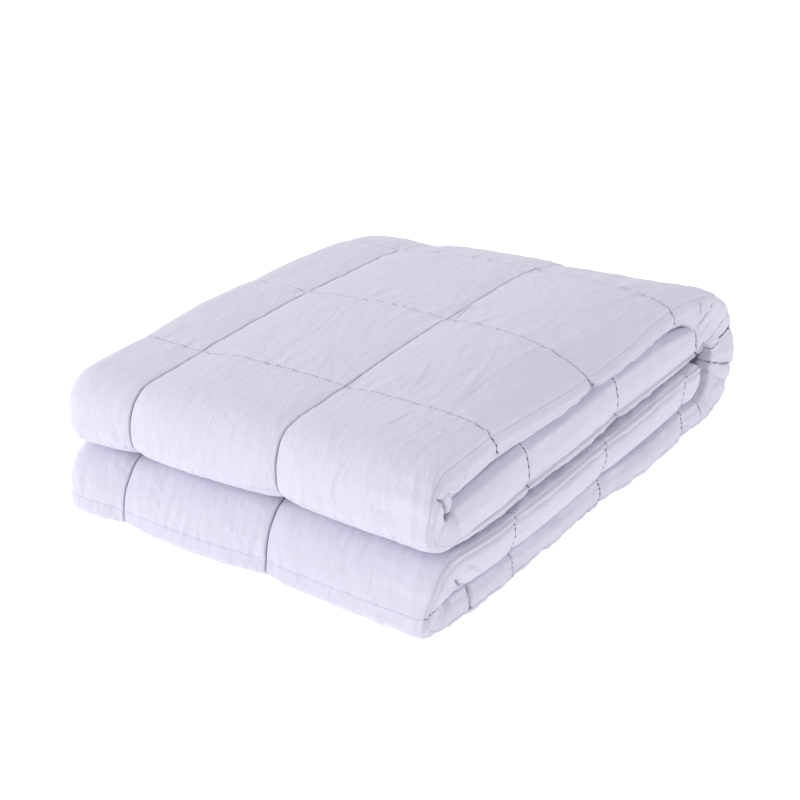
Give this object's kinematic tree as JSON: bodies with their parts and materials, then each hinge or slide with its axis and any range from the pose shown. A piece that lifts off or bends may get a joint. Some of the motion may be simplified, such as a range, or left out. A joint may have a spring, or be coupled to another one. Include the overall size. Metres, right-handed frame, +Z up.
{
  "type": "weighted blanket, folded",
  "caption": "Folded weighted blanket in pale lilac grey cotton, quilted in squares, lying in a stack of folded layers.",
  "frame": {"origin": "on the surface the stack rests on, under the middle of its box", "axes": "+Y from the small folds at the front to the big turn at the back, +Z up through the layers, +X towards the hems"},
  "size_m": [0.328, 0.4514, 0.1335],
  "materials": {
    "quilted_cotton": "plain woven cotton, pale lilac grey, matt, softly crumpled along the quilting"
  },
  "bodies": {
    "root": {"blanket": "quilted_cotton"}
  },
  "joints": []
}
